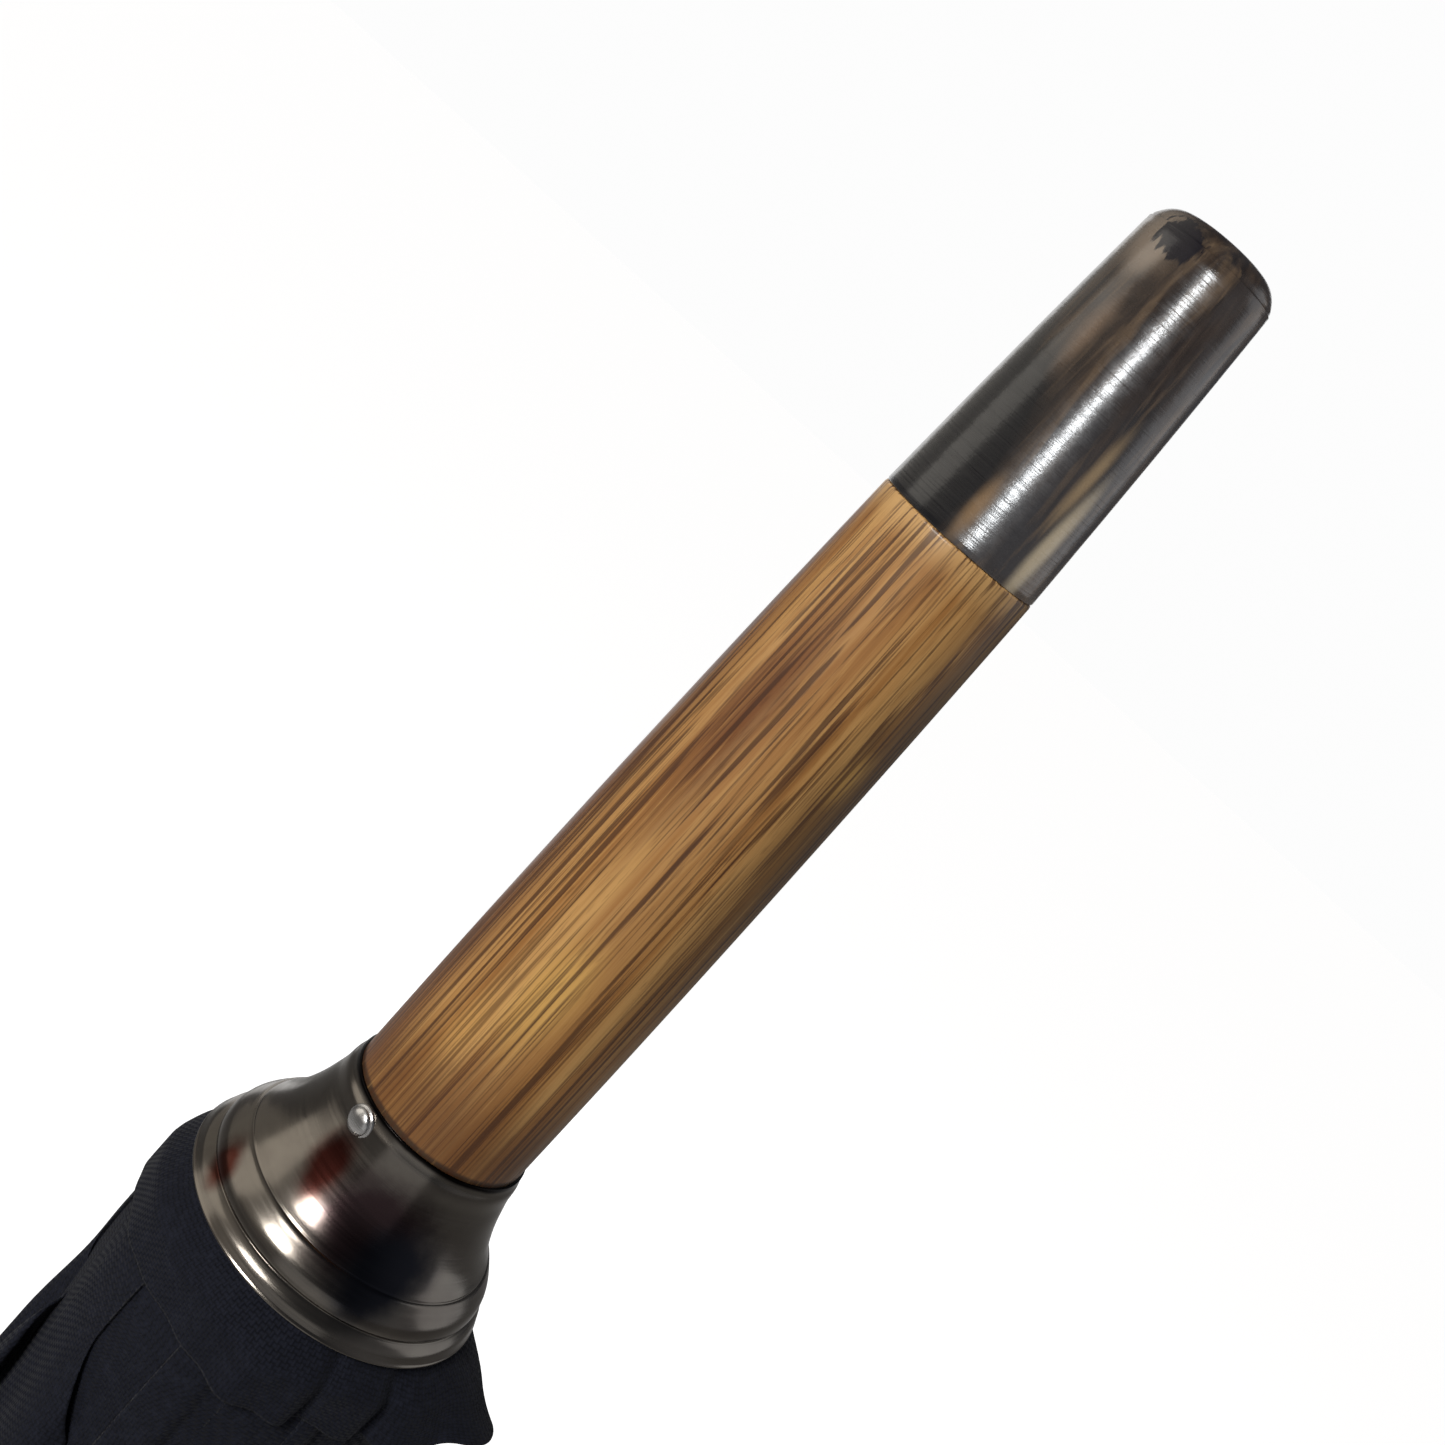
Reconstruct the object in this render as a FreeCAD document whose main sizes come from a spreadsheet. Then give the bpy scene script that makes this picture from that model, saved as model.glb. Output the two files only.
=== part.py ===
import FreeCAD, Part
import math
import os

import Sketcher

# Stick umbrella with a horn tip, furled. The shaft lies on Z with the tip up.
# The origin is on the shaft's axis, half-way down the straight grip of the crook handle.

RIBS = 8
STEP_DEG = 360.0 / RIBS
FIRST_DEG = STEP_DEG / 2
STRAP_RIB = 2

# Driving dimensions in mm (angles in degrees).
DIMS = {
    # shaft and tip, heights from the origin
    "tip_z": 783.0,
    "horn_z": 761.24,
    "cup_top_z": 709.0,
    "cup_rim_z": 696.65,
    "cup_lip_r": 7.13,
    "cup_neck_r": 7.8,
    "cup_neck_drop": 3.2,
    "cup_waist_r": 8.45,
    "cup_waist_drop": 5.4,
    "cup_shoulder_r": 9.5,
    "cup_shoulder_drop": 7.4,
    "cup_step_r": 10.15,
    "cup_step_drop": 8.2,
    "cup_bead_r": 11.25,
    "cup_bead_drop": 10.3,
    "cup_rim_r": 12.1,
    "cup_wall": 0.5,
    "cup_seat_len": 2.6,
    "cup_rivet_r": 0.6,
    "cup_rivet_root": 5.0,
    "cup_rivet_seat": 7.66,
    "cup_rivet_head_r": 0.98,
    "cup_rivet_dome": 0.7,
    "cup_rivet_drop": 1.4,
    "cup_rivet_deg": 29.0,
    "rosette_r": 14.3,
    "rosette_top_r": 12.3,
    "shaft_r": 7.0,
    "cup_seat_r": 6.93,
    "wood_mid_r": 6.665,
    "wood_end_r": 6.0,
    "horn_base_r": 5.985,
    "horn_end_r": 4.71,
    "horn_dome": 1.5,
    "spigot_r": 3.0,
    "spigot_len": 12.0,
    # notch and ribs
    "notch_z": 687.5,
    "notch_r": 11.5,
    "notch_half": 2.0,
    "notch_hub_r": 8.9,
    "notch_hub_top": 693.5,
    "eye_pcr": 9.8,
    "wire_r": 0.6,
    "groove_half": 0.65,
    "hub_pin_r": 0.8,
    "hub_pin_drop": 1.9,
    "eye_hole_r": 0.66,
    "eye_t": 1.2,
    "eye_slot_w": 1.6,
    "rib_w": 3.0,
    "rib_d": 2.6,
    "sheet_t": 0.5,
    "rib_len": 602.0,
    "rib_start": 3.2,
    "rib_lean": 0.5,
    "joint_at": 270.0,
    "rivet_head_r": 1.15,
    "rivet_head_t": 0.45,
    "rib_tip_r": 1.6,
    "rib_tip_len": 6.0,
    "rib_ball_r": 2.1,
    # stretchers and runner
    "stretcher_len": 300.0,
    "stretcher_w": 4.3,
    "stretcher_d": 2.2,
    "stretcher_eye_r": 1.25,
    "stretcher_neck_x": 3.85,
    "stretcher_neck_len": 8.0,
    "stretcher_toe": 1.15,
    "runner_z": 117.52,
    "runner_pcr": 10.0,
    "runner_bore_r": 7.3,
    "runner_tube_r": 8.1,
    "runner_below": 62.0,
    "crown_r": 11.8,
    "crown_above": 4.0,
    "crown_below": 5.0,
    "crown_slot_w": 4.8,
    "crown_slot_r": 8.6,
    # springs
    "spring_t": 1.4,
    "spring_slot_w": 1.8,
    "spring_back_x": 3.4,
    "spring_face_x": 5.2,
    "spring_tooth": 3.0,
    "catch_out": 9.5,
    "top_catch_z": 429.2,
    "low_catch_z": 64.0,
    "stop_z": 497.5,
    "stop_r": 1.0,
    # handle
    "grip_r": 9.5,
    "grip_top": 45.0,
    "grip_bottom": -60.0,
    "crook_r": 40.0,
    "nose_len": 16.0,
    "collar_len": 9.0,
    "collar_t": 0.6,
    "collar_lip": 2.2,
    "cap_h": 8.2,
    "handle_bore": 42.0,
    "tenon_r": 5.0,
    # furled canopy
    "gore_top": 690.0,
    "gore_len": 575.0,
    "gore_r_top": 11.7,
    "gore_r_low": 17.0,
    "gore_t_top": 1.3,
    "gore_t_low": 8.2,
    "gore_gap_deg": 1.5,
    "strap_top": 370.0,
    "strap_len": 170.0,
    "strap_t": 0.9,
    "strap_deg": 56.0,
    "strap_clear": 0.4,
    "button_r": 5.0,
    "button_t": 1.8,
    "button_up": 14.0,
}

doc = FreeCAD.newDocument("StickUmbrella")
sheet = doc.addObject("Spreadsheet::Sheet", "dims")
for row, (alias, value) in enumerate(DIMS.items(), start=1):
    sheet.set("A%d" % row, alias)
    sheet.set("B%d" % row, str(value))
    sheet.setAlias("B%d" % row, alias)
doc.recompute()

parts = []


def number(expression):
    """The value of an expression in the sheet's cells."""
    value = sheet.evalExpression(expression)
    return float(getattr(value, "Value", value))


def cells(expression):
    """The expression with every cell's name led by the sheet's, as other objects need it."""
    words = []
    word = ""
    for letter in expression + " ":
        if letter.isalnum() or letter == "_":
            word += letter
            continue
        words.append("dims." + word if word in DIMS else word)
        words.append(letter)
        word = ""
    return "".join(words).strip()


def bind(thing, **sizes):
    """Ties an object's sizes to expressions in the sheet's cells."""
    for prop, expression in sizes.items():
        thing.setExpression(prop, cells(expression))
    return thing


def keep(thing, label):
    thing.Label = label
    parts.append(thing)
    return thing


def place(thing, x="0", y="0", z="0", turn=None):
    """Moves an object to the place that the expressions give."""
    if turn is not None:
        thing.Placement = FreeCAD.Placement(FreeCAD.Vector(), turn)
    for axis, expression in (("x", x), ("y", y), ("z", z)):
        thing.setExpression("Placement.Base." + axis, cells(expression))
    return thing


def origin_plane(body, role):
    for feature in body.Origin.OriginFeatures:
        if feature.Role == role:
            return feature
    raise ValueError("no plane " + role)


def outline(body, name, points):
    """A closed sketch on the body's XZ plane through points given as pairs of expressions."""
    sketch = body.newObject("Sketcher::SketchObject", name)
    sketch.AttachmentSupport = [(origin_plane(body, "XZ_Plane"), "")]
    sketch.MapMode = "FlatFace"
    spots = [FreeCAD.Vector(number(x), number(z), 0) for x, z in points]
    count = len(spots)
    for k in range(count):
        sketch.addGeometry(Part.LineSegment(spots[k], spots[(k + 1) % count]), False)
    for k in range(count):
        sketch.addConstraint(Sketcher.Constraint("Coincident", k, 2, (k + 1) % count, 1))
    for k, (x, z) in enumerate(points):
        for kind, expression in (("DistanceX", x), ("DistanceY", z)):
            value = number(expression)
            at = sketch.addConstraint(Sketcher.Constraint(kind, -1, 1, k, 1, value))
            if any(alias in expression for alias in DIMS):
                sketch.setExpression("Constraints[%d]" % at, cells(expression))
    return sketch


def lathe(name, points, angle="360"):
    """A body turned about Z from an outline of (radius, height) pairs."""
    body = doc.addObject("PartDesign::Body", name)
    sketch = outline(body, name + "_outline", points)
    turned = body.newObject("PartDesign::Revolution", name + "_turned")
    turned.Profile = sketch
    turned.ReferenceAxis = (sketch, ["V_Axis"])
    turned.setExpression("Angle", cells(angle))
    sketch.Visibility = False
    return body


def box(name, low, high):
    """A Part::Box between two corners given as expressions."""
    made = doc.addObject("Part::Box", name)
    for prop, k in (("Length", 0), ("Width", 1), ("Height", 2)):
        made.setExpression(prop, cells("(%s) - (%s)" % (high[k], low[k])))
    return place(made, *low)


def rod(name, radius, length, x="0", y="0", z="0", turn=None):
    made = doc.addObject("Part::Cylinder", name)
    bind(made, Radius=radius, Height=length)
    return place(made, x, y, z, turn)


def fuse(name, things):
    made = doc.addObject("Part::MultiFuse", name)
    made.Shapes = things
    return made


def cut(name, base, tools):
    made = doc.addObject("Part::Cut", name)
    made.Base = base
    made.Tool = tools[0] if len(tools) == 1 else fuse(name + "_cutters", tools)
    return made


X, Y, Z = FreeCAD.Vector(1, 0, 0), FreeCAD.Vector(0, 1, 0), FreeCAD.Vector(0, 0, 1)
ALONG_X = FreeCAD.Rotation(Y, 90)
ALONG_Y = FreeCAD.Rotation(X, -90)


def about_z(degrees):
    return FreeCAD.Rotation(Z, degrees)


def rib_angle(k):
    return FIRST_DEG + STEP_DEG * k


def slots(name, count, width, inner, outer, low, high):
    """Radial slots, one on each rib's angle."""
    made = []
    for k in range(count):
        slot = doc.addObject("Part::Box", "%s_%d" % (name, k + 1))
        turn = about_z(rib_angle(k))
        bind(slot, Length="(%s) - (%s)" % (outer, inner), Width=width, Height="(%s) - (%s)" % (high, low))
        side = math.radians(rib_angle(k))
        cos, sin = math.cos(side), math.sin(side)
        place(
            slot,
            "%r * (%s) + %r * (%s) / 2" % (cos, inner, sin, width),
            "%r * (%s) - %r * (%s) / 2" % (sin, inner, cos, width),
            low,
            turn,
        )
        made.append(slot)
    return made


# --- shaft and tip -------------------------------------------------------------


def make_stick():
    """The one-piece wooden shaft, with its spigots, spring slots and pin holes."""
    wood = lathe(
        "stick_wood",
        [
            ("0", "grip_top - handle_bore"),
            ("tenon_r", "grip_top - handle_bore"),
            ("tenon_r", "grip_top"),
            ("shaft_r", "grip_top"),
            ("shaft_r", "cup_rim_z"),
            ("cup_seat_r", "cup_top_z"),
            ("wood_mid_r", "(cup_top_z + horn_z) / 2"),
            ("wood_end_r", "horn_z"),
            ("spigot_r", "horn_z"),
            ("spigot_r", "horn_z + spigot_len"),
            ("0", "horn_z + spigot_len"),
        ],
    )
    low, high = "-spring_slot_w / 2", "spring_slot_w / 2"
    tools = [
        box("top_spring_slot", ("0.3", low, "top_catch_z - 34"), ("9", high, "top_catch_z + 6")),
        box("low_spring_slot", ("0.3", low, "low_catch_z - 5"), ("9", high, "low_catch_z + 36")),
        rod("stop_hole", "stop_r", "20", "-10", "0", "stop_z", ALONG_X),
        rod("notch_pin_hole", "hub_pin_r", "20", "0", "-10", "notch_hub_top - hub_pin_drop", ALONG_Y),
        rivet_hole("stick_rivet_hole"),
    ]
    return keep(cut("stick", wood, tools), "stick")


def rivet_turn():
    """Turns Z to the way out of the cup's rivet, which is round the shaft from -Y."""
    side = math.radians(number("cup_rivet_deg"))
    return FreeCAD.Rotation(Z, FreeCAD.Vector(-math.sin(side), -math.cos(side), 0))


def rivet_hole(name):
    return rod(
        name,
        "cup_rivet_r",
        "cup_rivet_root - 1",
        "-cup_rivet_root * sin(cup_rivet_deg * 1 deg)",
        "-cup_rivet_root * cos(cup_rivet_deg * 1 deg)",
        "cup_top_z - cup_rivet_drop",
        rivet_turn(),
    )


def make_horn_tip():
    return keep(
        lathe(
            "horn_tip",
            [
                ("0", "horn_z + spigot_len + 0.3"),
                ("spigot_r", "horn_z + spigot_len + 0.3"),
                ("spigot_r", "horn_z"),
                ("horn_base_r", "horn_z"),
                ("horn_end_r", "tip_z"),
                ("horn_end_r * 0.93", "tip_z + horn_dome * 0.38"),
                ("horn_end_r * 0.83", "tip_z + horn_dome * 0.7"),
                ("horn_end_r * 0.68", "tip_z + horn_dome * 0.92"),
                ("horn_end_r * 0.4", "tip_z + horn_dome * 0.995"),
                ("0", "tip_z + horn_dome"),
            ],
        ),
        "horn_tip",
    )


def make_ferrule_cup():
    """The flared metal cup over the top of the canopy, with two rolled beads."""
    turned = lathe(
        "ferrule_cup_turned",
        [
            ("cup_seat_r + 0.01", "cup_top_z"),
            ("cup_lip_r", "cup_top_z"),
            ("cup_neck_r - 0.4", "cup_top_z - cup_neck_drop / 3"),
            ("cup_neck_r", "cup_top_z - cup_neck_drop"),
            ("cup_waist_r", "cup_top_z - cup_waist_drop"),
            ("cup_shoulder_r", "cup_top_z - cup_shoulder_drop"),
            ("cup_step_r", "cup_top_z - cup_step_drop"),
            ("cup_bead_r - 0.7", "cup_top_z - cup_step_drop - 0.6"),
            ("cup_bead_r", "cup_top_z - cup_bead_drop"),
            ("cup_bead_r + 0.2", "cup_top_z - cup_bead_drop - 0.5"),
            ("cup_rim_r", "cup_rim_z + 0.2"),
            ("cup_rim_r", "cup_rim_z"),
            ("cup_rim_r - cup_wall", "cup_rim_z"),
            ("cup_bead_r - 0.8", "cup_top_z - cup_bead_drop"),
            ("cup_shoulder_r - 0.6", "cup_top_z - cup_shoulder_drop"),
            ("cup_waist_r - 0.55", "cup_top_z - cup_waist_drop"),
            ("cup_neck_r - 0.6", "cup_top_z - cup_neck_drop - 0.4"),
            ("shaft_r", "cup_top_z - cup_seat_len"),
        ],
    )
    return keep(cut("ferrule_cup", turned, [rivet_hole("cup_rivet_hole")]), "ferrule_cup")


def make_cup_rivet():
    """A domed pin that holds the cup to the shaft."""
    body = lathe(
        "cup_rivet",
        [
            ("0", "cup_rivet_root"),
            ("cup_rivet_r", "cup_rivet_root"),
            ("cup_rivet_r", "cup_rivet_seat"),
            ("cup_rivet_head_r", "cup_rivet_seat"),
            ("cup_rivet_head_r * 0.87", "cup_rivet_seat + cup_rivet_dome / 2"),
            ("cup_rivet_head_r / 2", "cup_rivet_seat + cup_rivet_dome * 0.86"),
            ("0", "cup_rivet_seat + cup_rivet_dome"),
        ],
    )
    place(body, z="cup_top_z - cup_rivet_drop", turn=rivet_turn())
    return keep(body, "cup_rivet")


def make_rosette():
    """The gathered cloth patch between the cup and the canopy."""
    body = lathe(
        "rosette",
        [
            ("notch_hub_r + 0.3", "gore_top + 0.6"),
            ("rosette_r", "gore_top + 0.6"),
            ("rosette_top_r", "cup_rim_z - 0.1"),
            ("notch_hub_r + 0.3", "cup_rim_z - 0.1"),
        ],
    )
    return keep(body, "rosette")


# --- notch ----------------------------------------------------------------------


def make_top_notch():
    """The slotted wheel that carries the ribs, with its hub and the wire's groove."""
    wheel = lathe(
        "notch_wheel",
        [
            ("shaft_r", "notch_z - notch_half"),
            ("notch_r", "notch_z - notch_half"),
            ("notch_r", "notch_z - groove_half"),
            ("eye_pcr - groove_half", "notch_z - groove_half"),
            ("eye_pcr - groove_half", "notch_z + groove_half"),
            ("notch_r", "notch_z + groove_half"),
            ("notch_r", "notch_z + notch_half"),
            ("notch_hub_r", "notch_z + notch_half"),
            ("notch_hub_r", "notch_hub_top"),
            ("shaft_r", "notch_hub_top"),
        ],
    )
    tools = slots("notch_slot", RIBS, "eye_slot_w", "eye_pcr - 1.7", "notch_r + 1",
                  "notch_z - notch_half - 1", "notch_z + notch_half")
    tools.append(rod("hub_hole", "hub_pin_r", "20", "0", "-10", "notch_hub_top - hub_pin_drop", ALONG_Y))
    keep(cut("top_notch", wheel, tools), "top_notch")

    wire = doc.addObject("Part::Torus", "notch_wire")
    bind(wire, Radius1="eye_pcr", Radius2="wire_r")
    place(wire, z="notch_z")
    keep(wire, "notch_wire")

    pin = rod("notch_pin", "hub_pin_r", "notch_hub_r * 2", "0", "-notch_hub_r",
              "notch_hub_top - hub_pin_drop", ALONG_Y)
    keep(pin, "notch_pin")


# --- ribs -------------------------------------------------------------------------


def rib_placement(k):
    """The rib's pivot in the notch, with -Z along the rib and +X away from the shaft."""
    turn = about_z(rib_angle(k)).multiply(FreeCAD.Rotation(Y, -number("rib_lean")))
    out = number("eye_pcr")
    side = math.radians(rib_angle(k))
    spot = FreeCAD.Vector(out * math.cos(side), out * math.sin(side), number("notch_z"))
    return FreeCAD.Placement(spot, turn)


def rib_joint_placement(k):
    """The rivet that joins the rib to its stretcher; -Z there runs down to the runner's wire."""
    rib = rib_placement(k)
    spot = rib.multVec(FreeCAD.Vector(0, 0, -number("joint_at")))
    lean = math.radians(number("rib_lean"))
    out = number("eye_pcr") + number("joint_at") * math.sin(lean) - number("runner_pcr")
    tilt = math.degrees(math.asin(out / number("stretcher_len")))
    turn = about_z(rib_angle(k)).multiply(FreeCAD.Rotation(Y, tilt))
    return FreeCAD.Placement(spot, turn)


def make_rib(k):
    """A U-channel with a flat eye at the notch, open towards the shaft."""
    n = "rib_%d" % (k + 1)
    half_w, half_d = "rib_w / 2", "rib_d / 2"
    channel = box(n + "_bar", ("-" + half_d, "-" + half_w, "-rib_len"), (half_d, half_w, "-rib_start"))
    hollow = box(n + "_hollow", ("-rib_d", "-rib_w / 2 + sheet_t", "-rib_len - 1"),
                 ("rib_d / 2 - sheet_t", "rib_w / 2 - sheet_t", "1"))
    folded = cut(n + "_folded", channel, [hollow])
    tab = box(n + "_tab", ("-" + half_d, "-eye_t / 2", "-rib_start - 2"), (half_d, "eye_t / 2", "0"))
    eye = rod(n + "_eye", half_d, "eye_t", "0", "-eye_t / 2", "0", ALONG_Y)
    whole = fuse(n + "_whole", [folded, tab, eye])
    holes = [
        rod(n + "_wire_hole", "eye_hole_r", "6", "0", "-3", "0", ALONG_Y),
        rod(n + "_rivet_hole", "wire_r", "6", "0", "-3", "-joint_at", ALONG_Y),
    ]
    rib = cut(n, whole, holes)
    rib.Placement = rib_placement(k)
    keep(rib, n)


def make_rivet(k):
    """The headed pin through the rib and its stretcher."""
    n = "rib_rivet_%d" % (k + 1)
    shank = rod(n + "_shank", "wire_r", "stretcher_w + 0.2", "0", "-stretcher_w / 2 - 0.1", "0", ALONG_Y)
    left = rod(n + "_left", "rivet_head_r", "rivet_head_t", "0", "stretcher_w / 2 + 0.1", "0", ALONG_Y)
    right = rod(n + "_right", "rivet_head_r", "rivet_head_t", "0",
                "-stretcher_w / 2 - 0.1 - rivet_head_t", "0", ALONG_Y)
    rivet = fuse(n, [shank, left, right])
    rivet.Placement = rib_joint_placement(k)
    keep(rivet, n)


def make_rib_tip(k):
    """The ball-ended tip that the canopy's corner is sewn to."""
    n = "rib_tip_%d" % (k + 1)
    sleeve = rod(n + "_sleeve", "rib_tip_r", "rib_tip_len", "0", "0", "-rib_len - rib_tip_len")
    ball = doc.addObject("Part::Sphere", n + "_ball")
    bind(ball, Radius="rib_ball_r")
    place(ball, z="-rib_len - rib_tip_len - 1")
    tip = fuse(n, [sleeve, ball])
    tip.Placement = rib_placement(k)
    keep(tip, n)


def make_stretcher(k):
    """A U-channel whose ends straddle the rib's rivet and the runner's wire."""
    n = "stretcher_%d" % (k + 1)
    body = doc.addObject("PartDesign::Body", n + "_channel")
    side = outline(
        body,
        n + "_side",
        [
            ("-0.6", "stretcher_eye_r"),
            ("0.6", "stretcher_eye_r"),
            ("stretcher_eye_r", "0.6"),
            ("stretcher_eye_r", "-stretcher_eye_r * 2"),
            ("-stretcher_neck_x + stretcher_d", "-stretcher_neck_len - 1"),
            ("stretcher_d / 2", "-stretcher_len + 3"),
            ("stretcher_d / 2", "-stretcher_len - 0.6"),
            ("0.5", "-stretcher_len - stretcher_toe"),
            ("-0.5", "-stretcher_len - stretcher_toe"),
            ("-stretcher_d / 2", "-stretcher_len - 0.6"),
            ("-stretcher_d / 2", "-stretcher_len + 3"),
            ("-stretcher_neck_x", "-stretcher_neck_len"),
            ("-stretcher_eye_r", "0.6"),
        ],
    )
    pad = body.newObject("PartDesign::Pad", n + "_pad")
    pad.Profile = side
    pad.Midplane = True
    pad.setExpression("Length", "dims.stretcher_w")
    inside = outline(
        body,
        n + "_inside",
        [
            ("6", "6"),
            ("6", "-stretcher_len - 6"),
            ("-6", "-stretcher_len - 6"),
            ("-6", "-stretcher_len + 3.6"),
            ("-stretcher_d / 2 + sheet_t", "-stretcher_len + 3.6"),
            ("-stretcher_neck_x + sheet_t", "-stretcher_neck_len + 0.4"),
            ("-6", "-stretcher_neck_len + 0.4"),
            ("-6", "6"),
        ],
    )
    hollow = body.newObject("PartDesign::Pocket", n + "_hollow")
    hollow.Profile = inside
    hollow.Midplane = True
    hollow.setExpression("Length", "dims.stretcher_w - 2 * dims.sheet_t")
    holes = [
        rod(n + "_rivet_hole", "eye_hole_r", "8", "0", "-4", "0", ALONG_Y),
        rod(n + "_wire_hole", "eye_hole_r", "8", "0", "-4", "-stretcher_len", ALONG_Y),
    ]
    stretcher = cut(n, body, holes)
    stretcher.Placement = rib_joint_placement(k)
    keep(stretcher, n)


# --- runner -------------------------------------------------------------------------


def make_runner():
    """The sliding tube, its slotted crown, and the wire pieces that the stretchers hang on."""
    tube = lathe(
        "runner_tube_turned",
        [
            ("runner_bore_r", "runner_z - runner_below"),
            ("runner_tube_r + 0.7", "runner_z - runner_below"),
            ("runner_tube_r + 0.7", "runner_z - runner_below + 3"),
            ("runner_tube_r", "runner_z - runner_below + 4"),
            ("runner_tube_r", "runner_z + crown_above"),
            ("runner_bore_r", "runner_z + crown_above"),
        ],
    )
    window = box("runner_window", ("2", "-1.2", "low_catch_z - 0.6"), ("12", "1.2", "low_catch_z + 14"))
    keep(cut("runner_tube", tube, [window]), "runner_tube")

    crown = lathe(
        "crown_turned",
        [
            ("runner_tube_r", "runner_z - crown_below"),
            ("crown_r - 1.2", "runner_z - crown_below"),
            ("crown_r", "runner_z - crown_below + 1.2"),
            ("crown_r", "runner_z - groove_half"),
            ("runner_pcr - groove_half", "runner_z - groove_half"),
            ("runner_pcr - groove_half", "runner_z + groove_half"),
            ("crown_r", "runner_z + groove_half"),
            ("crown_r", "runner_z + crown_above - 0.8"),
            ("crown_r - 0.8", "runner_z + crown_above"),
            ("runner_tube_r", "runner_z + crown_above"),
        ],
    )
    tools = slots("crown_slot", RIBS, "crown_slot_w", "crown_slot_r", "crown_r + 1",
                  "runner_z - crown_below - 1", "runner_z + crown_above + 1")
    keep(cut("runner_crown", crown, tools), "runner_crown")

    half_slot = math.degrees(math.asin(number("crown_slot_w / 2 / runner_pcr")))
    pieces = []
    for k in range(RIBS):
        piece = doc.addObject("Part::Torus", "wire_piece_%d" % (k + 1))
        bind(piece, Radius1="runner_pcr", Radius2="wire_r")
        piece.Angle3 = STEP_DEG - 2 * half_slot
        place(piece, z="runner_z", turn=about_z(rib_angle(k) + half_slot))
        pieces.append(piece)
    wire = doc.addObject("Part::Compound", "runner_wire")
    wire.Links = pieces
    keep(wire, "runner_wire")


# --- springs and stop -----------------------------------------------------------------


def spring(name, points):
    """A flat catch in the shaft's slot, as thick as the spring and square to Y."""
    body = doc.addObject("PartDesign::Body", name)
    side = outline(body, name + "_side", points)
    pad = body.newObject("PartDesign::Pad", name + "_pad")
    pad.Profile = side
    pad.Midplane = True
    pad.setExpression("Length", "dims.spring_t")
    return keep(body, name)


def make_springs():
    """The catches that hold the runner open and shut, and the pin that stops it."""
    spring(
        "top_spring",
        [
            ("spring_back_x", "top_catch_z - 30"),
            ("spring_face_x", "top_catch_z - 30"),
            ("spring_face_x", "top_catch_z - 18"),
            ("catch_out", "top_catch_z - spring_tooth"),
            ("catch_out", "top_catch_z"),
            ("spring_back_x", "top_catch_z"),
        ],
    )
    spring(
        "bottom_spring",
        [
            ("spring_back_x", "low_catch_z"),
            ("catch_out", "low_catch_z"),
            ("catch_out", "low_catch_z + spring_tooth"),
            ("spring_face_x", "low_catch_z + 13"),
            ("spring_face_x", "low_catch_z + 32"),
            ("spring_back_x", "low_catch_z + 32"),
        ],
    )
    keep(rod("stop_pin", "stop_r", "17.6", "-8.8", "0", "stop_z", ALONG_X), "stop_pin")


# --- handle -----------------------------------------------------------------------------


def make_handle():
    """The crook, bent from one round stick, with its collar and nose cap."""
    stem = rod("crook_stem", "grip_r", "grip_top - grip_bottom", z="grip_bottom")
    bend = doc.addObject("Part::Torus", "crook_bend")
    bind(bend, Radius1="crook_r", Radius2="grip_r")
    bend.Angle3 = 180
    place(bend, x="crook_r", z="grip_bottom", turn=FreeCAD.Rotation(X, -90))
    nose = rod("crook_nose", "grip_r", "nose_len", x="crook_r * 2", z="grip_bottom")
    whole = fuse("crook_whole", [stem, bend, nose])
    bore = rod("crook_bore", "tenon_r", "handle_bore + 1", z="grip_top - handle_bore")
    keep(cut("crook_handle", whole, [bore]), "crook_handle")

    keep(
        lathe(
            "handle_collar",
            [
                ("grip_r", "grip_top - collar_len"),
                ("grip_r + collar_t", "grip_top - collar_len"),
                ("grip_r + collar_t", "grip_top + collar_t"),
                ("grip_r - 0.9", "grip_top + collar_lip"),
                ("shaft_r", "grip_top + collar_lip"),
                ("shaft_r", "grip_top"),
                ("grip_r", "grip_top"),
            ],
        ),
        "handle_collar",
    )
    cap = lathe(
        "nose_cap",
        [
            ("0", "0"),
            ("grip_r + 0.3", "0"),
            ("grip_r + 0.3", "cap_h * 0.3"),
            ("grip_r - 1", "cap_h * 0.67"),
            ("grip_r - 4", "cap_h * 0.9"),
            ("0", "cap_h"),
        ],
    )
    place(cap, x="crook_r * 2", z="grip_bottom + nose_len")
    keep(cap, "nose_cap")


# --- canopy ------------------------------------------------------------------------------


def gore_wall(top, bottom, inner_lift, outer_lift):
    """Corners of the furled canopy's wall between two heights, widening towards the hem."""
    def radius(edge, height):
        share = "(gore_top - (%s)) / gore_len" % height
        inside = "gore_r_top + (gore_r_low - gore_r_top) * %s" % share
        if edge == "inner":
            return "%s + %s" % (inside, inner_lift)
        return "%s + gore_t_top + (gore_t_low - gore_t_top) * %s + %s" % (inside, share, outer_lift)

    return [
        (radius("inner", bottom), bottom),
        (radius("outer", bottom), bottom),
        (radius("outer", top), top),
        (radius("inner", top), top),
    ]


def make_gore(k):
    """One panel's share of the furled cloth, between this rib and the next."""
    n = "gore_%d" % (k + 1)
    body = lathe(n, gore_wall("gore_top", "gore_top - gore_len", "0", "0"),
                 "%r - gore_gap_deg" % STEP_DEG)
    body.Placement = FreeCAD.Placement(
        FreeCAD.Vector(), about_z(rib_angle(k) + number("gore_gap_deg") / 2)
    )
    keep(body, n)


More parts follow.
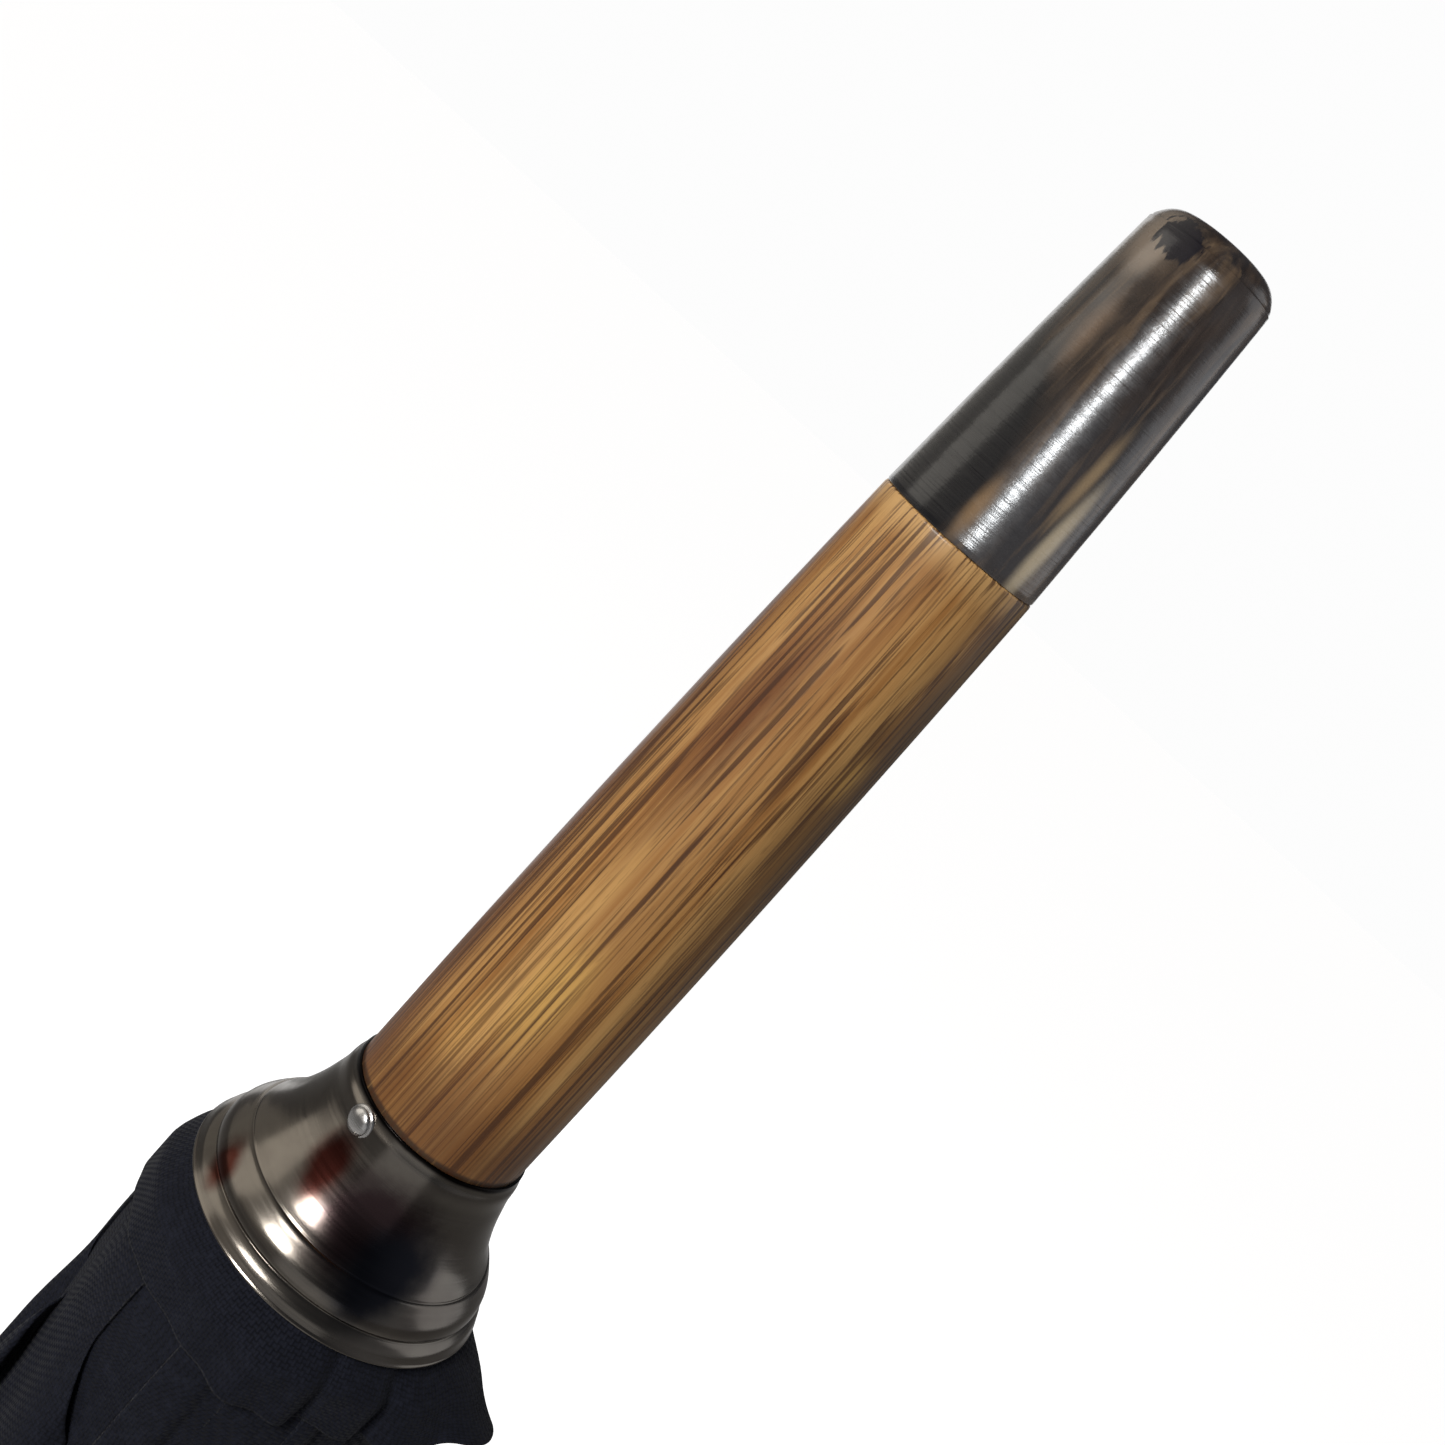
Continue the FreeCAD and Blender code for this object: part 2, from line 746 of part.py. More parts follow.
def make_strap():
    """The tie strap, lying open along the furled canopy, with its snap button."""
    wall = gore_wall("strap_top", "strap_top - strap_len", "0", "0")
    (inner_low, low), (outer_low, _), (outer_high, high), (inner_high, _) = wall
    body = lathe(
        "tie_strap",
        [
            (outer_low + " + strap_clear", low),
            (outer_low + " + strap_clear + strap_t", low),
            (outer_high + " + strap_clear + strap_t", high),
            (outer_high + " + strap_clear", high),
        ],
        "strap_deg",
    )
    middle = rib_angle(STRAP_RIB)
    body.Placement = FreeCAD.Placement(FreeCAD.Vector(), about_z(middle - number("strap_deg") / 2))
    keep(body, "tie_strap")

    share = "(gore_top - strap_top + strap_len - button_up) / gore_len"
    out = number(
        "gore_r_top + (gore_r_low - gore_r_top) * %s + gore_t_top + (gore_t_low - gore_t_top) * %s"
        " + strap_clear + 0.15 + strap_t" % (share, share)
    )
    button = lathe(
        "strap_button",
        [
            ("0", "0"),
            ("button_r", "0"),
            ("button_r", "button_t - 1"),
            ("button_r - 1.2", "button_t - 0.2"),
            ("0", "button_t"),
        ],
    )
    side = math.radians(middle)
    outwards = FreeCAD.Vector(math.cos(side), math.sin(side), 0)
    spot = outwards * out
    spot.z = number("strap_top - strap_len + button_up")
    button.Placement = FreeCAD.Placement(spot, FreeCAD.Rotation(Z, outwards))
    keep(button, "strap_button")


make_stick()
make_horn_tip()
make_ferrule_cup()
make_cup_rivet()
make_rosette()
make_top_notch()
for k in range(RIBS):
    make_rib(k)
    make_rivet(k)
    make_rib_tip(k)
    make_stretcher(k)
    make_gore(k)
make_runner()
make_springs()
make_handle()
make_strap()
doc.recompute()

for thing in doc.Objects:
    if "Invalid" in thing.State or "Error" in thing.State:
        raise RuntimeError("%s failed: %s" % (thing.Name, thing.State))
for part in parts:
    if part.Shape.isNull() or not part.Shape.isValid():
        raise RuntimeError("%s has no valid shape" % part.Label)

os.makedirs("parts", exist_ok=True)
for part in parts:
    part.Shape.exportStep("parts/%s.step" % part.Label)
    print(part.Label, round(part.Shape.Volume, 2), len(part.Shape.Solids))
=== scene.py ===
import math

import bpy
import numpy as np
from mathutils import Matrix, Vector, noise


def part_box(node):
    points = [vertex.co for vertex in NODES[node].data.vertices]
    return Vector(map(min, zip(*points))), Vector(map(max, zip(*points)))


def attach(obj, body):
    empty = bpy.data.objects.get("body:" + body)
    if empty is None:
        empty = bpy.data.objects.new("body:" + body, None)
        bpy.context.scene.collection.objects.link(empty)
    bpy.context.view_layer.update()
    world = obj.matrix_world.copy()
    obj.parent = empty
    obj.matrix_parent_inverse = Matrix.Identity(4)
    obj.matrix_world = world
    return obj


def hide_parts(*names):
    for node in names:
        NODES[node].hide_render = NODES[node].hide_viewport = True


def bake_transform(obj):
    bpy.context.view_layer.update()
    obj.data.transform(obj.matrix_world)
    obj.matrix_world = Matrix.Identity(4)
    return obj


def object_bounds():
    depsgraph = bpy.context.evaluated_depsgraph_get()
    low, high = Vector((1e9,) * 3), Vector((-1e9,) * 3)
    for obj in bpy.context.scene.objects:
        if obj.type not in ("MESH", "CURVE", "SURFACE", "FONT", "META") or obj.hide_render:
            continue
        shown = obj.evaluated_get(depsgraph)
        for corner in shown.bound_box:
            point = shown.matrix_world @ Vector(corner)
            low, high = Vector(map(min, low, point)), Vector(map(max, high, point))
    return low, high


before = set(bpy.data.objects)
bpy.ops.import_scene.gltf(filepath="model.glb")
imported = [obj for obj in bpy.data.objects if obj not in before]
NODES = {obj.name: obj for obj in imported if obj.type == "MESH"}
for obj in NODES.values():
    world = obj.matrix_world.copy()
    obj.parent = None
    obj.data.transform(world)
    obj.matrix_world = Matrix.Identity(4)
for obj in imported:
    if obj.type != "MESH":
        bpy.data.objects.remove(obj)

CAD_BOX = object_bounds()
MM = 0.001
RIBS = 8
STEP = math.tau / RIBS
TURN = math.tau

# Heights that the frame gives, in millimetres.
HORN_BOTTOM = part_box("horn_tip")[0].z / MM
HORN_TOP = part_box("horn_tip")[1].z / MM
HORN_DOME = 1.5
TIP = HORN_TOP - HORN_DOME
CUP_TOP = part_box("ferrule_cup")[1].z / MM
CUP_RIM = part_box("ferrule_cup")[0].z / MM
NOTCH_WIRE = sum(p.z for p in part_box("notch_wire")) / 2 / MM
STICK_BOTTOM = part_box("stick")[0].z / MM

# A lathe's closing radius, in mm, that stands in for 0 so that no face folds up.
POINT_R = 0.004
# A patch's reach, in mm, in a direction it has no edge in.
DEEP = 60


# --- small helpers ---------------------------------------------------------------


def smooth_step(x):
    x = np.clip(x, 0.0, 1.0)
    return x * x * (3 - 2 * x)


def link(obj):
    bpy.context.scene.collection.objects.link(obj)
    return obj


def mesh_piece(name, points, faces, body, slot, material, *replaced):
    """A smooth mesh in millimetres that rides on a body and takes the material given; slot is not used."""
    mesh = bpy.data.meshes.new(name)
    mesh.from_pydata([tuple(p) for p in np.asarray(points) * MM], [], faces)
    mesh.polygons.foreach_set("use_smooth", [True] * len(mesh.polygons))
    obj = link(bpy.data.objects.new(name, mesh))
    mesh.materials.append(material)
    if body:
        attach(obj, body)
    if replaced:
        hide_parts(*replaced)
    return obj


def grid_faces(rows, cols, closed=False):
    """Quads of a grid of points, wrapped round its columns if closed."""
    faces = []
    last = cols if closed else cols - 1
    for r in range(rows - 1):
        for c in range(last):
            n = (c + 1) % cols
            faces.append((r * cols + c, r * cols + n, (r + 1) * cols + n, (r + 1) * cols + c))
    return faces


def add_cloth_uv(obj, cloth):
    """Gives each point its place in the flat cloth, in mm, for the weave to follow."""
    mesh = obj.data
    uv = mesh.uv_layers.new(name="cloth")
    index = np.zeros(len(mesh.loops), np.int64)
    mesh.loops.foreach_get("vertex_index", index)
    uv.data.foreach_set("uv", np.array(cloth, np.float32)[index].ravel())


def curve_through(points, per_span):
    """A smooth curve through points, as a Catmull-Rom spline."""
    pts = np.array(points, float)
    ext = np.vstack([2 * pts[0] - pts[1], pts, 2 * pts[-1] - pts[-2]])
    out = []
    for i in range(1, len(ext) - 2):
        a, b, c, d = ext[i - 1], ext[i], ext[i + 1], ext[i + 2]
        for t in np.linspace(0, 1, per_span, endpoint=False):
            out.append(
                0.5 * (2 * b + (c - a) * t + (2 * a - 5 * b + 4 * c - d) * t**2
                       + (3 * b - a - 3 * c + d) * t**3)
            )
    out.append(ext[-2])
    return np.array(out)


def lathe(name, profile, body, slot, material, *replaced, segments=160):
    """Turns (radius, height) pairs in mm about Z; radii of 0 close the ends."""
    angles = np.arange(segments) * TURN / segments
    points, rows = [], len(profile)
    for radius, height in profile:
        radius = max(radius, POINT_R)
        points += [(radius * math.cos(a), radius * math.sin(a), height) for a in angles]
    faces = grid_faces(rows, segments, closed=True)
    faces.append(tuple(range(segments - 1, -1, -1)))
    faces.append(tuple((rows - 1) * segments + k for k in range(segments)))
    return mesh_piece(name, points, faces, body, slot, material, *replaced)


# --- materials -------------------------------------------------------------------


class Nodes:
    """Short calls for building a node tree."""

    def __init__(self, name):
        self.material = bpy.data.materials.new(name)
        self.material.use_nodes = True
        self.tree = self.material.node_tree
        self.shader = self.tree.nodes["Principled BSDF"]

    def add(self, kind, values=None, **props):
        node = self.tree.nodes.new("ShaderNode" + kind)
        for key, value in props.items():
            setattr(node, key, value)
        for key, value in (values or {}).items():
            self.put(node.inputs[key], value)
        return node

    def put(self, socket, value):
        if isinstance(value, bpy.types.NodeSocket):
            self.tree.links.new(value, socket)
        elif hasattr(value, "outputs"):
            self.tree.links.new(value.outputs[0], socket)
        else:
            socket.default_value = value

    def set(self, **values):
        for key, value in values.items():
            self.put(self.shader.inputs[key.replace("_", " ")], value)

    def place(self, scale):
        """Object coordinates, which are metres in the row frame, times a scale."""
        where = self.add("TexCoord")
        return self.add("Mapping", {"Vector": where.outputs["Object"], "Scale": scale})

    def noise(self, where, scale=1.0, detail=4.0, rough=0.5, warp=0.0):
        return self.add("TexNoise", {"Vector": where, "Scale": scale, "Detail": detail,
                                     "Roughness": rough, "Distortion": warp})

    def ramp(self, source, *stops, kind="LINEAR"):
        node = self.add("ValToRGB", {"Fac": source})
        node.color_ramp.interpolation = kind
        elements = node.color_ramp.elements
        while len(elements) < len(stops):
            elements.new(0.5)
        for element, (at, colour) in zip(elements, stops):
            element.position = at
            value = colour if hasattr(colour, "__len__") else (colour,) * 3
            element.color = (*value, 1.0)
        return node

    def mix(self, share, low, high, blend="MIX"):
        node = self.add("Mix", data_type="RGBA", blend_type=blend)
        self.put(node.inputs[0], share)
        for socket, value in ((node.inputs[6], low), (node.inputs[7], high)):
            self.put(socket, (*value, 1.0) if isinstance(value, tuple) else value)
        return node.outputs[2]

    def math(self, how, a, b=0.0):
        node = self.add("Math", operation=how)
        self.put(node.inputs[0], a)
        self.put(node.inputs[1], b)
        return node

    def spot(self, centre, size, soft=0.45, warp=0.3, grain=(220, 220, 60)):
        """A soft-edged patch of the surface round a point, in mm: 1 inside, 0 outside."""
        where = self.add("TexCoord")
        near = self.add("Mapping", {"Vector": where.outputs["Object"],
                                    "Location": tuple(-c / r for c, r in zip(centre, size)),
                                    "Scale": tuple(1 / (r * MM) for r in size)})
        ragged = self.noise(self.place(grain), 1.0, 4.0, 0.6)
        push = self.add("VectorMath", {0: ragged.outputs["Color"], 1: (warp,) * 3},
                        operation="MULTIPLY")
        moved = self.add("VectorMath", {0: near, 1: push}, operation="ADD")
        centred = self.add("VectorMath", {0: moved, 1: (warp / 2,) * 3}, operation="SUBTRACT")
        far = self.add("VectorMath", {0: centred}, operation="LENGTH")
        return self.ramp(far.outputs["Value"], (max(1 - soft, 0.0), 1.0), (1.0, 0.0), kind="EASE")

    def bump(self, height, strength, distance, below=None):
        values = {"Height": height, "Strength": strength, "Distance": distance}
        if below is not None:
            values["Normal"] = below
        return self.add("Bump", values)


def horn_material():
    """Polished dark horn: near black by the shaft, amber and grey streaks along it, turning marks."""
    m = Nodes("polished_horn")
    joint = HORN_BOTTOM
    streaks = m.noise(m.place((420, 420, 52)), 1.0, 8.0, 0.66, 1.1)
    colour = m.ramp(streaks, (0.34, (0.012, 0.008, 0.007)), (0.47, (0.040, 0.026, 0.019)),
                    (0.58, (0.085, 0.056, 0.036)), (0.68, (0.15, 0.10, 0.06)),
                    (0.80, (0.05, 0.034, 0.026)))
    colour = colour.outputs[0]
    grey = m.ramp(m.noise(m.place((130, 130, 70)), 1.0, 5.0, 0.6, 0.6), (0.46, 0.0), (0.68, 0.85))
    colour = m.mix(grey, colour, (0.040, 0.038, 0.040))
    amber = m.ramp(m.noise(m.place((900, 900, 75)), 1.0, 4.0, 0.6, 0.4), (0.52, 0.0), (0.70, 0.6))
    colour = m.mix(amber, colour, (0.20, 0.13, 0.075))
    front = -5.0
    black = m.spot((-5.2, front, joint + 3.0), (5.2, DEEP, 12.5), 0.35, 0.5)
    colour = m.mix(black, colour, (0.006, 0.0055, 0.007))
    # Painted shade: a dark strip down the horn's left edge.
    painted_edge_shade = m.spot((-6.2, 0, joint + 14.0), (2.4, DEEP, 14.0), 0.8, 0.3)
    colour = m.mix(painted_edge_shade, colour, (0.016, 0.015, 0.016))
    for centre, size, tint, soft in (
        ((-0.6, front, joint + 2.6), (0.8, DEEP, 3.4), (0.24, 0.145, 0.07), 0.9),
        ((4.1, front, joint + 3.2), (0.75, DEEP, 6.5), (0.42, 0.34, 0.23), 0.8),
        ((3.2, front, joint + 8.0), (0.6, DEEP, 5.0), (0.26, 0.18, 0.10), 0.9),
        ((-3.3, front, joint + 20.6), (1.9, DEEP, 3.2), (0.27, 0.205, 0.15), 0.7),
        ((-2.6, front, joint + 14.2), (0.9, DEEP, 4.4), (0.17, 0.11, 0.07), 0.9),
    ):
        colour = m.mix(m.spot(centre, size, soft, 0.5, (500, 500, 90)), colour, tint)
    strokes = m.spot((-2.2, front, joint + 21.3), (1.5, DEEP, 1.5), 0.2, 1.4, (2600, 2600, 160))
    colour = m.mix(strokes, colour, (0.006, 0.004, 0.009))
    rings = m.noise(m.place((60, 60, 5200)), 1.0, 3.0, 0.6)
    scuffs = m.noise(m.place((900, 900, 1400)), 1.0, 3.0, 0.6)
    height = m.math("ADD", rings, m.math("MULTIPLY", scuffs, 0.6))
    m.set(Base_Color=colour, Roughness=m.ramp(scuffs, (0.3, 0.20), (0.75, 0.36)), Specular_IOR_Level=0.5,
          Coat_Weight=0.7, Coat_Roughness=0.15, Normal=m.bump(height, 0.30, 0.00006),
          Coat_Normal=m.bump(height, 0.75, 0.00006))
    return m.material


def wood_material(name, light, mid, dark, grain=(0.055, 0.018, 0.005), shaft_end=False):
    """Varnished straight-grained wood; the shaft's end has light and dark patches: painted shade along its
    two sides, painted highlights as pale yellow spots, and other darker and lighter patches.
    """
    m = Nodes(name)
    bands = m.noise(m.place((520, 520, 7)), 1.0, 5.0, 0.6, 0.3)
    colour = m.ramp(bands, (0.30, dark), (0.46, mid), (0.62, light), (0.78, mid)).outputs[0]
    if shaft_end:
        top = HORN_BOTTOM
        patches = (
            ((0, 0, CUP_TOP + 1.0), (DEEP, DEEP, 9.0), dark, 0.9),
            ((-2.6, 0, top - 17.0), (2.2, DEEP, 17.0), (0.115, 0.034, 0.010), 0.9),
            # Painted shade: the right side darkened.
            ((5.6, 0, top - 16.0), (3.0, DEEP, 30.0), (0.15, 0.075, 0.018), 0.9),
            # Painted shade: the left edge darkened.
            ((-6.8, 0, top - 27.0), (2.4, DEEP, 40.0), (0.13, 0.045, 0.016), 0.9),
            # Painted highlights: this pale yellow spot and the next two.
            ((0.2, 0, CUP_TOP + 14.0), (2.6, DEEP, 7.5), (0.62, 0.36, 0.095), 0.9),
            ((-2.4, 0, CUP_TOP + 9.0), (1.6, DEEP, 4.5), (0.50, 0.27, 0.08), 0.9),
            ((4.9, 0, top - 15.0), (1.0, DEEP, 3.2), (0.48, 0.27, 0.07), 0.9),
            ((0, 0, top), (DEEP, DEEP, 2.6), (0.52, 0.31, 0.12), 0.9),
            ((0, 0, CUP_TOP), (DEEP, DEEP, 0.55), (0.012, 0.008, 0.006), 0.5),
        )
        for centre, size, tint, soft in patches:
            share = m.math("MULTIPLY", m.spot(centre, size, soft, 0.5).outputs[0], 0.8)
            colour = m.mix(share, colour, tint)
    fine = m.noise(m.place((3600, 3600, 26)), 1.0, 3.0, 0.6)
    pale = m.ramp(fine, (0.28, 0.5), (0.42, 0.0))
    colour = m.mix(pale, colour, light)
    lines = m.ramp(m.noise(m.place((2500, 2500, 5)), 1.0, 2.0, 0.5), (0.54, 0.0), (0.62, 0.8))
    colour = m.mix(lines, colour, grain)
    hairs = m.ramp(m.noise(m.place((5000, 5000, 9)), 1.0, 1.0, 0.5), (0.55, 0.0), (0.66, 0.6))
    colour = m.mix(hairs, colour, grain)
    flecks = m.ramp(m.noise(m.place((5200, 5200, 420)), 1.0, 2.0), (0.60, 0.0), (0.74, 0.35))
    colour = m.mix(flecks, colour, grain)
    m.set(Base_Color=colour, Roughness=m.ramp(fine, (0.3, 0.34), (0.7, 0.5)), Coat_Weight=0.22,
          Coat_Roughness=0.28, Specular_IOR_Level=0.4,
          Normal=m.bump(m.math("MULTIPLY", lines.outputs[0], -1.0), 0.25, 0.00006))
    return m.material


def metal_material(name, colour, rough, scratches=0.25, along=(60, 60, 5200), tint=None, patches=()):
    """Plated metal with fine marks from turning or rolling."""
    m = Nodes(name)
    marks = m.noise(m.place(along), 1.0, 3.0, 0.6)
    stains = m.noise(m.place((240, 240, 240)), 1.0, 4.0, 0.6, 0.5)
    base = m.mix(m.ramp(stains, (0.35, 0.0), (0.75, 0.6)), colour, tint or tuple(c * 0.6 for c in colour))
    # Patches painted over the metal; on the cup they are painted reflections and a dark seam line.
    for centre, size, shade in patches:
        base = m.mix(m.spot(centre, size, 0.65, 0.5, (420, 420, 420)), base, shade)
    spread = m.math("MULTIPLY", marks.outputs[0], scratches)
    m.set(Base_Color=base, Metallic=1.0, Roughness=m.math("ADD", spread, rough),
          Normal=m.bump(marks, 0.12, 0.00003))
    return m.material


def cloth_material(name, thread, weft, pitch_mm=0.29, relief=0.00006):
    """Tightly woven cloth; its threads follow the panel's own coordinates, in millimetres."""
    m = Nodes(name)
    where = m.add("UVMap", uv_map="cloth")
    split = m.add("SeparateXYZ", {"Vector": where})
    across = m.math("DIVIDE", split.outputs[0], pitch_mm)
    down = m.math("DIVIDE", split.outputs[1], pitch_mm)
    check = m.math("PINGPONG", m.math("ADD", m.math("FLOOR", across), m.math("FLOOR", down)), 1.0)
    warp_thread = m.math("ABSOLUTE", m.math("SINE", m.math("MULTIPLY", across, math.pi)))
    weft_thread = m.math("ABSOLUTE", m.math("SINE", m.math("MULTIPLY", down, math.pi)))
    lifted = m.math("MULTIPLY", check, warp_thread)
    other = m.math("MULTIPLY", m.math("SUBTRACT", 1.0, check), weft_thread)
    height = m.math("ADD", lifted, other)
    fuzz = m.noise(m.place((1500, 1500, 1500)), 1.0, 2.0)
    # Painted shade: the cloth is darker where the weave is low, between the threads.
    shade = m.mix(m.math("MULTIPLY", height, 0.8), tuple(c * 0.25 for c in thread), thread)
    shade = m.mix(m.ramp(fuzz, (0.45, 0.0), (0.8, 0.5)), shade, weft)
    creases = m.noise(m.place((160, 160, 60)), 1.0, 4.0, 0.6)
    first = m.bump(creases, 0.35, 0.0006)
    m.set(Base_Color=shade, Roughness=0.80, Specular_IOR_Level=0.12, Sheen_Weight=0.03,
          Sheen_Roughness=0.5, Normal=m.bump(height, 0.8, relief, first))
    return m.material


def paint_material(name, colour, rough=0.35):
    """Thin black paint, a little uneven."""
    m = Nodes(name)
    mottle = m.noise(m.place((900, 900, 300)), 1.0, 3.0)
    shade = m.mix(m.ramp(mottle, (0.4, 0.0), (0.8, 0.4)), colour, tuple(c * 2.2 for c in colour))
    spread = m.math("MULTIPLY", mottle.outputs[0], 0.2)
    m.set(Base_Color=shade, Roughness=m.math("ADD", spread, rough), Coat_Weight=0.3,
          Normal=m.bump(mottle, 0.08, 0.00004))
    return m.material


HORN = horn_material()
SHAFT_WOOD = wood_material("amber_wood", (0.50, 0.28, 0.095), (0.31, 0.14, 0.036), (0.14, 0.054, 0.014),
                           shaft_end=True)
HANDLE_WOOD = wood_material("handle_wood", (0.40, 0.19, 0.05), (0.23, 0.085, 0.02), (0.10, 0.034, 0.010))
# Painted reflections on the cup: dark red-brown and dark bluish patches. The last entry is the dark line at
# its seam with the wood.
CUP_PAINTED_REFLECTIONS_AND_SEAM = (
    ((1.6, -8.4, CUP_TOP - 5.6), (5.6, DEEP, 4.6), (0.050, 0.032, 0.034)),
    ((-3.2, -7.6, CUP_TOP - 4.6), (1.9, DEEP, 3.4), (0.070, 0.019, 0.015)),
    ((-8.4, -7.0, CUP_TOP - 9.9), (1.3, DEEP, 2.0), (0.070, 0.022, 0.016)),
    ((4.4, -9.0, CUP_TOP - 7.4), (3.4, DEEP, 4.4), (0.032, 0.034, 0.044)),
    ((0, 0, CUP_TOP), (DEEP, DEEP, 0.42), (0.008, 0.007, 0.007)),
)
CUP_METAL = metal_material("dark_nickel", (0.20, 0.182, 0.158), 0.11, 0.20, tint=(0.13, 0.11, 0.10),
                           patches=CUP_PAINTED_REFLECTIONS_AND_SEAM)
BRIGHT = metal_material("bright_steel", (0.60, 0.59, 0.58), 0.14)
WIRE = metal_material("wire_steel", (0.50, 0.50, 0.51), 0.24)
RUNNER_METAL = metal_material("runner_nickel", (0.23, 0.21, 0.20), 0.22)
BRASS = metal_material("notch_brass", (0.52, 0.38, 0.16), 0.30)
RIB_PAINT = paint_material("rib_paint", (0.012, 0.012, 0.013))
CLOTH = cloth_material("canopy_cloth", (0.0085, 0.0100, 0.0180), (0.014, 0.016, 0.027))
STRAP_CLOTH = cloth_material("strap_cloth", (0.0070, 0.0080, 0.0140), (0.012, 0.014, 0.022), 0.34)

FINISHES = {
    "crook_handle": HANDLE_WOOD,
    "handle_collar": CUP_METAL,
    "nose_cap": CUP_METAL,
    "runner_tube": RUNNER_METAL,
    "runner_crown": RUNNER_METAL,
    "runner_wire": WIRE,
    "top_notch": BRASS,
    "notch_wire": WIRE,
    "notch_pin": WIRE,
    "stop_pin": WIRE,
    "top_spring": BRIGHT,
    "bottom_spring": BRIGHT,
    "rib": RIB_PAINT,
    "rib_rivet": WIRE,
    "rib_tip": CUP_METAL,
    "stretcher": RIB_PAINT,
}


def finish_frame_nodes():
    """Gives the CAD nodes that are shown as they are their material."""
    for name, obj in NODES.items():
        kind = name.rstrip("0123456789").rstrip("_")
        material = FINISHES.get(name) or FINISHES.get(kind)
        if material is None:
            continue
        obj.data.materials.clear()
        obj.data.materials.append(material)


# --- tip, in mm ----------------------------------------------------------------------

HORN_BASE_R, HORN_END_R = 5.985, 4.71
SHAFT_R = 7.0
TENON_R, TENON_LENGTH = 5.0, 42.0
RIVET_R, RIVET_DOME = 0.97, 0.42
RIVET_OUT, RIVET_DROP = 7.48, 1.4
RIVET_TURN = math.radians(29)


def make_horn():
    """The horn end, tapered and slightly bowed, with a flat-topped dome."""
    base, end = HORN_BASE_R, HORN_END_R
    side = [(base - 0.05, HORN_BOTTOM), (base, HORN_BOTTOM + 0.12)]
    for t in np.linspace(0.03, 0.985, 40):
        bow = 0.06 * math.sin(math.pi * t)
        side.append((base + (end - base) * t + bow, HORN_BOTTOM + (TIP - HORN_BOTTOM) * t))
    side += [(end, TIP - 0.30), (end, TIP - 0.02), (end - 0.05, TIP + 0.03), (end - 0.10, TIP + 0.05)]
    for share in np.linspace(0.972, 0.0, 26):
        side.append((end * share, TIP + HORN_DOME * (1 - share ** 6.5)))
    return lathe("horn_end", side, "shaft", "horn", HORN, "horn_tip", segments=220)


def wood_radius(z):
    """The shaft's radius: straight below the cup, easing down to the horn above it."""
    middle = (CUP_TOP + HORN_BOTTOM) / 2
    (z0, r0), (z1, r1), (z2, r2) = (CUP_TOP, 6.93), (middle, 6.665), (HORN_BOTTOM, 6.0)
    if z <= CUP_RIM:
        return SHAFT_R
    if z <= z0:
        return float(np.interp(z, [CUP_RIM, z0], [SHAFT_R, r0]))
    t = [(z - z1) * (z - z2) / ((z0 - z1) * (z0 - z2)),
         (z - z0) * (z - z2) / ((z1 - z0) * (z1 - z2)),
         (z - z0) * (z - z1) / ((z2 - z0) * (z2 - z1))]
    return r0 * t[0] + r1 * t[1] + r2 * t[2]


def make_stick():
    """The wooden shaft, with its two spring slots cut in."""
    shoulder = STICK_BOTTOM + TENON_LENGTH
    profile = [(TENON_R, STICK_BOTTOM), (TENON_R, shoulder - 0.1), (SHAFT_R, shoulder)]
    for z in np.linspace(shoulder + 4, CUP_RIM, 40):
        profile.append((SHAFT_R, z))
    for z in np.linspace(CUP_RIM + 1, HORN_BOTTOM - 0.25, 60):
        profile.append((wood_radius(z), z))
    profile += [(wood_radius(HORN_BOTTOM) - 0.02, HORN_BOTTOM - 0.1), (5.9, HORN_BOTTOM - 0.02),
                (3.0, HORN_BOTTOM - 0.02)]
    stick = lathe("shaft_stick", profile, "shaft", "shaft_wood", SHAFT_WOOD, "stick", segments=192)
    for name, spring in (("top", "top_spring"), ("low", "bottom_spring")):
        low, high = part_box(spring)
        middle = (low + high) / 2
        cutter = link(bpy.data.objects.new("cut_" + name, bpy.data.meshes.new("cut_" + name)))
        slot_x = 0.0055
        half = Vector((0.0052, 0.0009, (high.z - low.z) / 2 + 0.004))
        corners = [
            (slot_x + sx * half.x, sy * half.y, middle.z + sz * half.z)
            for sx in (-1, 1) for sy in (-1, 1) for sz in (-1, 1)
        ]
        quads = [(0, 1, 3, 2), (4, 6, 7, 5), (0, 4, 5, 1), (2, 3, 7, 6), (0, 2, 6, 4), (1, 5, 7, 3)]
        cutter.data.from_pydata(corners, [], quads)
        carve = stick.modifiers.new("slot", "BOOLEAN")
        carve.object = cutter
        carve.operation = "DIFFERENCE"
        graph = bpy.context.evaluated_depsgraph_get()
        carved = bpy.data.meshes.new_from_object(stick.evaluated_get(graph))
        stick.modifiers.clear()
        stick.data = carved
        bpy.data.objects.remove(cutter)


def make_cup():
    """The flared cup: a thin neck, two rolled beads and a lipped rim."""
    neck = [(7.13, 0), (7.22, -0.5), (7.38, -1.05), (7.5, -2.1), (7.76, -3.2), (8.08, -4.35),
            (8.46, -5.4), (8.93, -6.45), (9.5, -7.4), (9.96, -8.0)]
    beads = [(9.97, -8.1), (10.2, -8.22), (10.46, -8.55), (10.78, -8.98), (11.06, -9.45), (11.22, -9.98),
             (11.25, -10.35), (11.2, -10.58), (11.34, -10.7), (11.56, -10.92), (11.76, -11.2),
             (11.9, -11.55), (12.0, -11.8), (12.08, -11.93), (12.07, -12.03), (11.93, -12.05), (11.6, -12.0)]
    inside = [(11.35, -11.7), (10.7, -10.6), (9.65, -8.8), (8.6, -7.0), (7.8, -5.1), (7.25, -3.4),
              (7.0, -2.2)]
    lip = [(6.96, -0.02)]
    rows = [*lip, *curve_through(neck, 8), *curve_through(beads, 5), *inside]
    profile = [(r, CUP_TOP + z) for r, z in rows]
    return lathe("flared_cup", profile, "shaft", "cup_metal", CUP_METAL, "ferrule_cup", segments=256)


